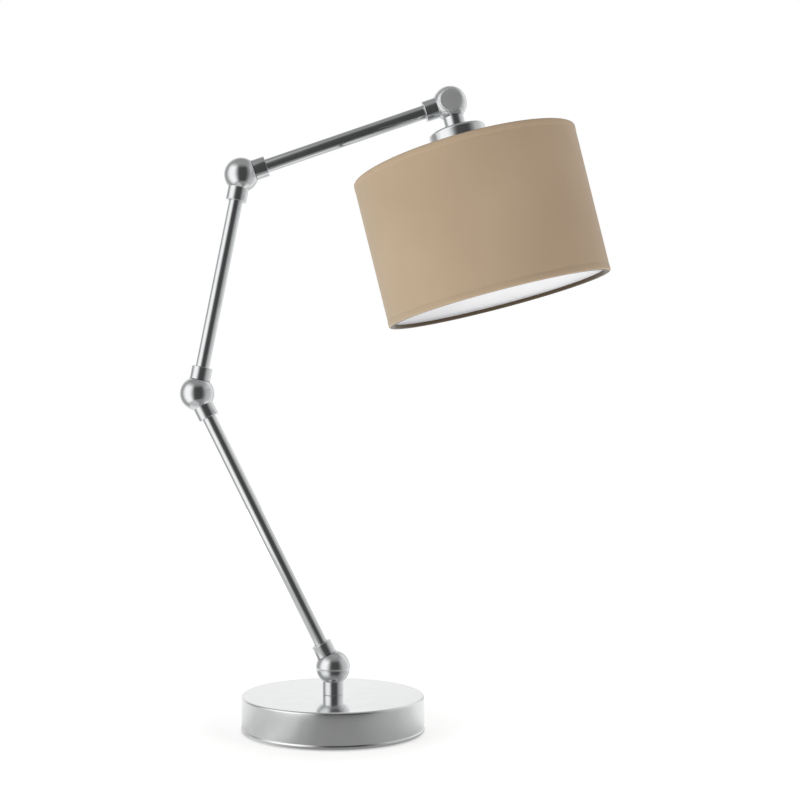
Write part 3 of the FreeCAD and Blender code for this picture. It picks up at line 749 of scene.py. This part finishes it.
def make_cap(pivot, centre, facing):
    """Turned cap with a spigot behind it, a bevelled rim and a slightly dished face."""
    top = CAP_FLAT + CAP_THICKNESS
    cap = rounded([
        (0, CAP_FLAT - CAP_SPIGOT_LENGTH),
        (CAP_SPIGOT_RADIUS, CAP_FLAT - CAP_SPIGOT_LENGTH, 0.2),
        (CAP_SPIGOT_RADIUS, CAP_FLAT),
        (CAP_RADIUS, CAP_FLAT, 0.15),
        (CAP_RADIUS, top - CAP_BEVEL_HEIGHT, 0.3),
        (CAP_RADIUS - CAP_BEVEL_WIDTH, top, 0.5),
        (0, top - CAP_DISH),
    ])
    mesh = turned(f"{pivot}_cap", cap, segments=96, closed=False)
    piece(f"{pivot}_cap", mesh, facing_frame(centre, facing), "faced_nickel")


def make_arm(name, near, far, far_capped):
    """Two knuckle halves on the ends of a tube."""
    start, end = pivots[near], pivots[far]
    lean = lean_between(start, end)
    make_knuckle(f"{name}_near_knuckle", leaning(start, lean, BACK), capped=True)
    make_knuckle(f"{name}_far_knuckle", leaning(end, lean + math.pi, FRONT), capped=far_capped)
    inset = KNUCKLE_REACH - SEAT_DEPTH
    length = (end - start).length / MM
    tube = rounded([
        (TUBE_RADIUS, inset, 0.3),
        (TUBE_RADIUS, length - inset, 0.3),
        (TUBE_BORE, length - inset, 0.2),
        (TUBE_BORE, inset, 0.2),
    ])
    piece(f"{name}_tube", turned(f"{name}_tube", tube, segments=96), leaning(start, lean))


def make_cup():
    """Spun cup over the lampholder, with a rounded shoulder and a rounded rim."""
    inner = CUP_RADIUS - CUP_WALL
    cup = rounded([
        (NIPPLE_SEAT, NECK_REACH),
        (CUP_RADIUS, NECK_REACH, CUP_SHOULDER),
        (CUP_RADIUS, HUB_TOP, 0.4),
        (inner, HUB_TOP, 0.4),
        (inner, NECK_REACH + CUP_WALL, CUP_SHOULDER - CUP_WALL),
        (NIPPLE_SEAT, NECK_REACH + CUP_WALL),
    ], steps=14)
    piece("lampholder_cup", turned("lampholder_cup", cup, segments=192), HEAD)


def thread(pitch, depth, start, end, radius):
    """A round thread on a wall of one radius, which fades out at its two ends."""
    def swell(angle, point_radius, height):
        inside = min(height - start, end - height)
        if inside < 0 or abs(point_radius - radius) > TINY:
            return 0
        return depth * min(inside / pitch, 1) * math.sin(angle + TURN * height / pitch)
    return swell


def straight_wall(radius, start, end, step=0.25):
    """Closely spaced points along a straight wall, for a thread to be cut in."""
    count = round(abs(end - start) / step)
    return [(radius, start + (end - start) * number / count) for number in range(count + 1)]


def make_holder_body():
    """Moulded body of the lampholder, with a thread on its outside for the clamp ring."""
    root = HOLDER_RADIUS - THREAD_DEPTH
    thread_start = HUB_TOP - 0.5
    thread_end = HOLDER_END - 1
    body = rounded([
        (NIPPLE_SEAT, HOLDER_TOP),
        (HOLDER_RADIUS, HOLDER_TOP, 1.0),
        (HOLDER_RADIUS, thread_start - 1),
        (root, thread_start - 0.5),
    ]) + straight_wall(root, thread_start, thread_end) + rounded([
        (root - 0.8, HOLDER_END),
        (HOLDER_BORE, HOLDER_END, 0.4),
        (HOLDER_BORE, INSERT_TOP),
        (NIPPLE_SEAT, INSERT_TOP),
    ])
    spiral = thread(HOLDER_THREAD_PITCH, THREAD_DEPTH, thread_start, thread_end, root)
    piece("lampholder_body", turned("lampholder_body", body, segments=96, swell=spiral), HEAD)


def make_clamp_ring():
    """Ribbed ring that clamps the shade's hub plate to the lampholder."""
    foot = HUB_TOP + HUB_THICKNESS
    top = foot + CLAMP_HEIGHT
    rib_start = foot + 0.8
    rib_end = top - 1.8
    ring = rounded([
        (CLAMP_BORE, foot, 0.3),
        (CLAMP_RADIUS, foot, 0.6),
        (CLAMP_RADIUS, top - CLAMP_BEVEL, 0.3),
        (CLAMP_RADIUS - CLAMP_BEVEL, top, 0.5),
        (CLAMP_BORE, top, 0.3),
    ])

    def grip(angle, radius, height):
        ribbed = rib_start - 0.1 < height < rib_end + 0.5
        if radius <= CLAMP_RADIUS - 0.5 or not ribbed:
            return 0
        return -CLAMP_RIB_DEPTH * (1 - abs(math.cos(angle * CLAMP_RIBS / 2)))

    wall = straight_wall(CLAMP_RADIUS, rib_start, rib_end, 0.5)
    split = next(number for number, point in enumerate(ring) if point[1] > foot + 1)
    ring = ring[:split] + wall + ring[split:]
    mesh = turned("shade_clamp_ring", ring, segments=CLAMP_RIBS * 8, swell=grip)
    piece("shade_clamp_ring", mesh, HEAD)


def make_screw_shell():
    """Rolled metal socket, whose inside and outside follow the same thread."""
    start = INSERT_TOP + INSERT_THICKNESS
    end = start + SOCKET_LENGTH
    outside = SOCKET_RADIUS - 0.6
    inside = SOCKET_RADIUS - 1
    wall = straight_wall(outside, start, end, 0.35)
    back = [(inside, height) for _, height in wall[::-1]]
    outer_thread = thread(EDISON_PITCH, THREAD_DEPTH, start, end, outside)
    inner_thread = thread(EDISON_PITCH, THREAD_DEPTH, start, end, inside)

    def rolled(*place):
        return outer_thread(*place) + inner_thread(*place)

    mesh = turned("lampholder_screw_shell", wall + back, segments=96, swell=rolled)
    piece("lampholder_screw_shell", mesh, HEAD)


def make_bulb_globe():
    """Opal globe whose waist curves into its neck."""
    cap_end = BULB_TOP + BULB_CAP_LENGTH
    centre = BULB_TOP + BULB_LENGTH - BULB_RADIUS
    neck = BULB_CAP_RADIUS - 0.4
    waist_radius = neck + BULB_WAIST
    lean = math.acos(waist_radius / (BULB_RADIUS + BULB_WAIST))
    waist_height = centre - (BULB_RADIUS + BULB_WAIST) * math.sin(lean)
    waist = arc(BULB_WAIST, 180, 180 - math.degrees(lean), 16, (waist_radius, waist_height))
    ball = arc(BULB_RADIUS, -math.degrees(lean), 90, 48, (0, centre))[1:]
    line = [(neck, cap_end - 1)] + [point for point in waist if point[1] > cap_end] + ball
    line[-1] = (0, centre + BULB_RADIUS)
    wall = thickened(line, BULB_WALL)
    wall[len(line)] = (0, centre + BULB_RADIUS - BULB_WALL)
    piece("bulb_globe", turned("bulb_globe", wall, segments=128), HEAD)


def make_bulb_cap():
    """Screw cap with a stepped contact at its top."""
    cap_end = BULB_TOP + BULB_CAP_LENGTH
    top = BULB_TOP + 0.25
    root = BULB_CAP_RADIUS - BULB_THREAD_DEPTH - 0.05
    rim = BULB_CAP_RADIUS - 0.1
    thread_start = top + 5
    thread_end = cap_end - 5
    cap = rounded([
        (0, top),
        (3.2, top, 0.8),
        (4.6, top + 1.2, 0.6),
        (10.4, top + 3.4, 0.8),
    ]) + straight_wall(root, thread_start, thread_end, 0.3) + rounded([
        (rim, cap_end - 3.5),
        (rim, cap_end, 0.4),
        (0, cap_end),
    ])
    spiral = thread(EDISON_PITCH, BULB_THREAD_DEPTH, thread_start, thread_end, root)
    piece("bulb_cap", turned("bulb_cap", cap, segments=96, closed=False, swell=spiral), HEAD)


# ---------------------------------------------------------------- shade

def make_shade_fabric():
    """Fabric drum, folded in over the wire at both rims, with a glued seam at the back."""
    fold_radius = RING_RADIUS - WIRE_RADIUS - FABRIC_THICKNESS - 0.05
    panel_radius = SHADE_RADIUS - PANEL_RECESS
    hem_low = SHADE_END - HEM_HEIGHT
    hem_high = SHADE_TOP + HEM_HEIGHT
    line = rounded([
        (fold_radius, SHADE_END - HEM_FOLD),
        (fold_radius, SHADE_END, HEM_LIP),
        (SHADE_RADIUS, SHADE_END, HEM_LIP),
        (SHADE_RADIUS, hem_low),
        (panel_radius, hem_low - HEM_STEP),
        (panel_radius, hem_high + HEM_STEP),
        (SHADE_RADIUS, hem_high),
        (SHADE_RADIUS, SHADE_TOP, HEM_LIP),
        (fold_radius, SHADE_TOP, HEM_LIP),
        (fold_radius, SHADE_TOP + HEM_FOLD),
    ], steps=8)
    start = next(number for number, point in enumerate(line) if point[1] < hem_low - 0.1)
    panel = straight_wall(panel_radius, hem_low - 1, hem_high + 1, 4)
    line = line[:start + 1] + panel + line[start + 1:]

    def seam(angle, radius, height):
        away = abs((angle - TURN / 4 + math.pi) % TURN - math.pi)
        on_outside = radius > SHADE_RADIUS - 1
        between_hems = hem_high + 1 < height < hem_low - 1
        return SEAM_RISE if on_outside and away < SEAM_HALF_WIDTH and between_hems else 0

    drum = thickened(line, -FABRIC_THICKNESS)
    mesh = turned("shade_fabric", drum, segments=360, swell=seam)
    liner_inside = (LINER_RADIUS - LINER_THICKNESS) * MM
    folded_in = [face.center.to_2d().length < liner_inside for face in mesh.polygons]
    fabric = piece("shade_fabric", mesh, HEAD)
    # Faces folded in at the rims take a darker copy of the weave, which is painted shade
    mesh.materials.append(materials["hem_painted_shade"])
    for face, folded in zip(mesh.polygons, folded_in):
        face.material_index = int(folded)
    fabric.visible_glossy = False


def make_shade_liner():
    """Stiff white lining inside the fabric, a little shorter than it at both rims."""
    liner = rounded([
        (LINER_RADIUS, SHADE_TOP + LINER_MARGIN, 0.1),
        (LINER_RADIUS, SHADE_END - LINER_MARGIN, 0.1),
        (LINER_RADIUS - LINER_THICKNESS, SHADE_END - LINER_MARGIN, 0.1),
        (LINER_RADIUS - LINER_THICKNESS, SHADE_TOP + LINER_MARGIN, 0.1),
    ], steps=2)
    piece("shade_liner", turned("shade_liner", liner, segments=256), HEAD).visible_glossy = False


def wire_ring(name, height):
    outline = arc(WIRE_RADIUS, 0, 360, 20, (RING_RADIUS, height))[:-1]
    return turned(name, outline, segments=192)


def make_spoke(degrees, plate_height, ring_height):
    """A spoke bent down from the hub plate to the top wire, and the bead of braze at its end."""
    turn = Matrix.Rotation(math.radians(degrees), 4, "Z")
    bends = (
        (HUB_RADIUS - 3, 0, plate_height),
        (HUB_RADIUS + 8, 0, plate_height - 0.6),
        (RING_RADIUS - 12, 0, ring_height + 1.6),
        (RING_RADIUS, 0, ring_height),
    )
    route = [turn @ Vector(bend) for bend in bends]
    spoke = wire("spoke", route, WIRE_RADIUS)
    braze = [(0, -BRAZE_REACH)] + arc(BRAZE_RADIUS, -60, 60, 10) + [(0, BRAZE_REACH)]
    bead = turned("bead", braze, segments=24, closed=False)
    across = turn @ Vector((0, 1, 0))
    bead.transform(axes(route[-1] * MM, across, Vector((0, 0, 1))))
    return [spoke, bead]


def make_shade_frame():
    """Hub plate, top wire and three spokes as one brazed piece, and the bottom wire."""
    ring_height = SHADE_TOP + WIRE_MARGIN + WIRE_RADIUS
    plate_height = HUB_TOP + HUB_THICKNESS / 2
    plate = turned("hub_plate", rounded([
        (HUB_BORE, HUB_TOP, 0.2),
        (HUB_RADIUS, HUB_TOP, 0.4),
        (HUB_RADIUS, HUB_TOP + HUB_THICKNESS, 0.4),
        (HUB_BORE, HUB_TOP + HUB_THICKNESS, 0.2),
    ]), segments=128)
    parts = [plate, wire_ring("top_wire", ring_height)]
    for degrees in SPOKE_TURNS:
        parts += make_spoke(degrees, plate_height, ring_height)
    piece("shade_spider", joined("shade_spider", parts), HEAD)
    bottom = wire_ring("bottom_wire", SHADE_END - WIRE_MARGIN - WIRE_RADIUS)
    piece("shade_bottom_wire", bottom, HEAD)


def dress_inner_pieces():
    """Give its finish to every CAD node that no new mesh replaces."""
    names = set(bpy.data.objects.keys())
    for name, obj in frame["nodes"].items():
        if f"{name}_visual" in names:
            continue
        obj.data.materials.clear()
        obj.data.materials.append(materials[slots[name]])


make_base_cover()
make_base_pad()
make_cord_grommet()
make_knuckle("post_knuckle", leaning(pivots["lower_knuckle"], math.pi, FRONT), seat=NIPPLE_SEAT)
make_arm("lower_arm", "lower_knuckle", "middle_knuckle", far_capped=False)
make_arm("middle_arm", "middle_knuckle", "upper_knuckle", far_capped=False)
make_arm("upper_arm", "upper_knuckle", "head_knuckle", far_capped=True)
make_knuckle("neck_knuckle", HEAD, reach=NECK_REACH, seat=NIPPLE_SEAT, fillet=2.5)
for pivot, joint, facing in (
    ("lower_pivot", "lower_knuckle", BACK),
    ("middle_pivot", "middle_knuckle", BACK),
    ("upper_pivot", "upper_knuckle", BACK),
    ("head_pivot", "head_knuckle", FRONT),
):
    make_cap(pivot, pivots[joint], facing)
make_cup()
make_holder_body()
make_clamp_ring()
make_screw_shell()
make_bulb_globe()
make_bulb_cap()
make_shade_fabric()
make_shade_liner()
make_shade_frame()
dress_inner_pieces()


# ---------------------------------------------------------------- studio

# The camera's place is in metres, its lens in millimetres and its shift in widths of the frame
CAMERA_ASIDE = 0.00635
CAMERA_DISTANCE = 1.1116
CAMERA_HEIGHT = 0.247
CAMERA_LENS = 56.94
CAMERA_SHIFT = (0.0748, 0.0602)

# What the metal reflects, by the direction's angle round the lamp from the camera's side, in
# degrees: a large softbox to the left, a dark wall behind the camera and a pale room beyond.
ROOM = (
    (-180, 0.94), (-150, 0.85), (-130, 0.45), (-108, 0.36), (-92, 0.85), (-75, 1.18), (-45, 1.18),
    (-31, 0.76), (-19, 0.24), (-8, 0.075), (35, 0.065), (44, 0.10), (58, 0.28), (75, 0.54),
    (100, 0.64), (122, 0.85), (140, 0.95), (156, 0.60), (168, 0.86), (180, 0.94),
)
# What the side of the base reflects from the table close to it, by the same angle
TABLE = (
    (-180, 0.95), (-146, 0.80), (-121, 0.62), (-95, 0.58), (-70, 0.66), (-55, 0.58), (-40, 0.40),
    (-20, 0.29), (0, 0.27), (30, 0.28), (60, 0.36), (88, 0.44), (103, 0.52), (121, 0.64),
    (146, 0.88), (180, 0.95),
)
# Its angles are multiplied by this, which draws them together towards the camera's side
TABLE_NARROWING = 0.735
# The disc that carries these greys, in millimetres
TABLE_RADIUS = 330
TABLE_DROP = 0.4

WHITE = (1.0, 1.0, 1.0)
CEILING = (0.33, 0.33, 0.33)
UNDERFOOT = (0.22, 0.22, 0.22)
# How far up or down a direction points where the walls start to give way, and where they are gone
CEILING_BLEND = (0.60, 0.90)
UNDERFOOT_BLEND = (-0.70, -0.92)

# The floor, in metres, lies just under the lamp. Its glow grows between two distances from the
# lamp, so that it ends in white.
FLOOR_DROP = 0.0003
FLOOR_HALF = 4.0
FLOOR_GLOW = (0.50, 1.1)
FLOOR_GLOW_DISTANCE = (0.18, 1.2)

# What the two large lights point at, and the lights' colours
LIGHT_AIM = (0.1, 0, 0.4)
COOL = (0.97, 1.0, 0.95)
WARM = (1.0, 0.92, 0.88)


def shade_of_ring(shader, place, stops, narrowing=1.0):
    """The grey of a direction or place, by its angle round the lamp, and how high it is.

    The camera's side is the middle of the ramp. Smaller narrowing draws the stops together.
    """
    split = shader.node("SeparateXYZ")
    shader.link(place, split.inputs[0])
    ahead = shader.maths("MULTIPLY", split.outputs["Y"], -1.0)
    angle = shader.maths("ARCTAN2", split.outputs["X"], ahead)
    around = shader.maths("MULTIPLY_ADD", angle, 1 / (TURN * narrowing))
    around.node.inputs[2].default_value = 0.5
    ramp = shader.node("ValToRGB")
    elements = ramp.color_ramp.elements
    while len(elements) < len(stops):
        elements.new(0.5)
    for element, (degrees, level) in zip(elements, stops):
        element.position = degrees / 360 + 0.5
        element.color = (level, level, level, 1)
    shader.link(around, ramp.inputs["Fac"])
    return ramp.outputs["Color"], split.outputs["Z"]


def make_world():
    """A studio seen only in reflections and as light; the camera itself sees plain white."""
    world = bpy.data.worlds.new("studio")
    bpy.context.scene.world = world
    world.use_nodes = True
    shader = Nodes(world.node_tree)
    shader.tree.nodes.clear()
    walls, height = shade_of_ring(shader, shader.node("TexCoord").outputs["Generated"], ROOM)
    overhead = shader.spread(height, 0.0, 1.0, *CEILING_BLEND)
    underfoot = shader.spread(height, 0.0, 1.0, *UNDERFOOT_BLEND)
    with_ceiling = shader.blend(overhead, walls, CEILING)
    studio = shader.blend(underfoot, with_ceiling, UNDERFOOT)
    seen = shader.blend(shader.node("LightPath").outputs["Is Camera Ray"], studio, WHITE)
    background = shader.node("Background")
    shader.link(seen, background.inputs["Color"])
    shader.link(background.outputs[0], shader.node("OutputWorld").inputs["Surface"])


def make_table_reflection():
    """A disc just under the lamp that only reflections see, shaded as the table round the base."""
    flat = [(0, -TABLE_DROP), (TABLE_RADIUS, -TABLE_DROP)]
    disc = turned("table_reflection", flat, segments=64, closed=False)
    obj = bpy.data.objects.new("table_reflection", disc)
    bpy.context.scene.collection.objects.link(obj)
    obj.visible_camera = False
    obj.visible_diffuse = False
    obj.visible_shadow = False
    obj.visible_transmission = False
    shader = Shader("table_reflection")
    grey, _ = shade_of_ring(shader, shader.object_place(), TABLE, TABLE_NARROWING)
    shader.link(grey, shader.surface.inputs["Emission Color"])
    shader.set(Base_Color=(0, 0, 0, 1), Roughness=1.0, Specular_IOR_Level=0.0, Emission_Strength=1.0)
    disc.materials.append(shader.material)


def make_floor():
    """Wide pale floor. In reflections the table's disc and the world stand for it."""
    corners = [(x * FLOOR_HALF, y * FLOOR_HALF, 0) for x, y in ((-1, -1), (1, -1), (1, 1), (-1, 1))]
    mesh = bpy.data.meshes.new("floor")
    mesh.from_pydata(corners, [], [(0, 1, 2, 3)])
    obj = bpy.data.objects.new("floor", mesh)
    obj.location.z = -FLOOR_DROP
    bpy.context.scene.collection.objects.link(obj)
    obj.visible_glossy = False
    shader = Shader("floor")
    mottle = shader.noise(shader.object_place(), 3, detail=2)
    shader.colour(mottle, (0.88, 0.88, 0.88), (0.90, 0.90, 0.90))
    distance = shader.node("VectorMath", operation="LENGTH")
    shader.link(shader.object_place(), distance.inputs[0])
    glow = shader.spread(distance.outputs["Value"], *FLOOR_GLOW, *FLOOR_GLOW_DISTANCE)
    shader.link(glow, shader.surface.inputs["Emission Strength"])
    shader.set(Roughness=0.9, Emission_Color=(1, 1, 1, 1))
    mesh.materials.append(shader.material)


def make_light(name, place, target, side, power, colour):
    """A square soft light that shines on the lamp but is not itself seen or reflected."""
    light = bpy.data.lights.new(name, "AREA")
    light.shape = "RECTANGLE"
    light.size = side
    light.size_y = side
    light.energy = power
    light.color = colour
    obj = bpy.data.objects.new(name, light)
    bpy.context.scene.collection.objects.link(obj)
    obj.location = place
    obj.rotation_euler = (Vector(target) - Vector(place)).to_track_quat("-Z", "Y").to_euler()
    obj.visible_glossy = False
    obj.visible_camera = False


def make_camera():
    """Level camera in front of the lamp, with its frame shifted onto the lamp."""
    camera = bpy.data.cameras.new("camera")
    camera.lens = CAMERA_LENS
    camera.sensor_width = 36
    camera.shift_x, camera.shift_y = CAMERA_SHIFT
    camera.clip_start = 0.05
    obj = bpy.data.objects.new("camera", camera)
    bpy.context.scene.collection.objects.link(obj)
    obj.location = (CAMERA_ASIDE, -CAMERA_DISTANCE, CAMERA_HEIGHT)
    obj.rotation_euler = (math.radians(90), 0, 0)
    bpy.context.scene.camera = obj


make_world()
make_floor()
make_table_reflection()
make_light("left_softbox", (-0.95, -0.55, 0.15), LIGHT_AIM, 0.5, 1.9, COOL)
make_light("table_bounce", (-0.25, -0.3, 0.01), (-0.2, -0.25, 0.4), 0.4, 2.1, COOL)
make_light("right_fill", (1.4, -0.8, 1.0), LIGHT_AIM, 0.9, 6.4, WARM)
make_camera()
bpy.context.scene.view_settings.view_transform = "Standard"
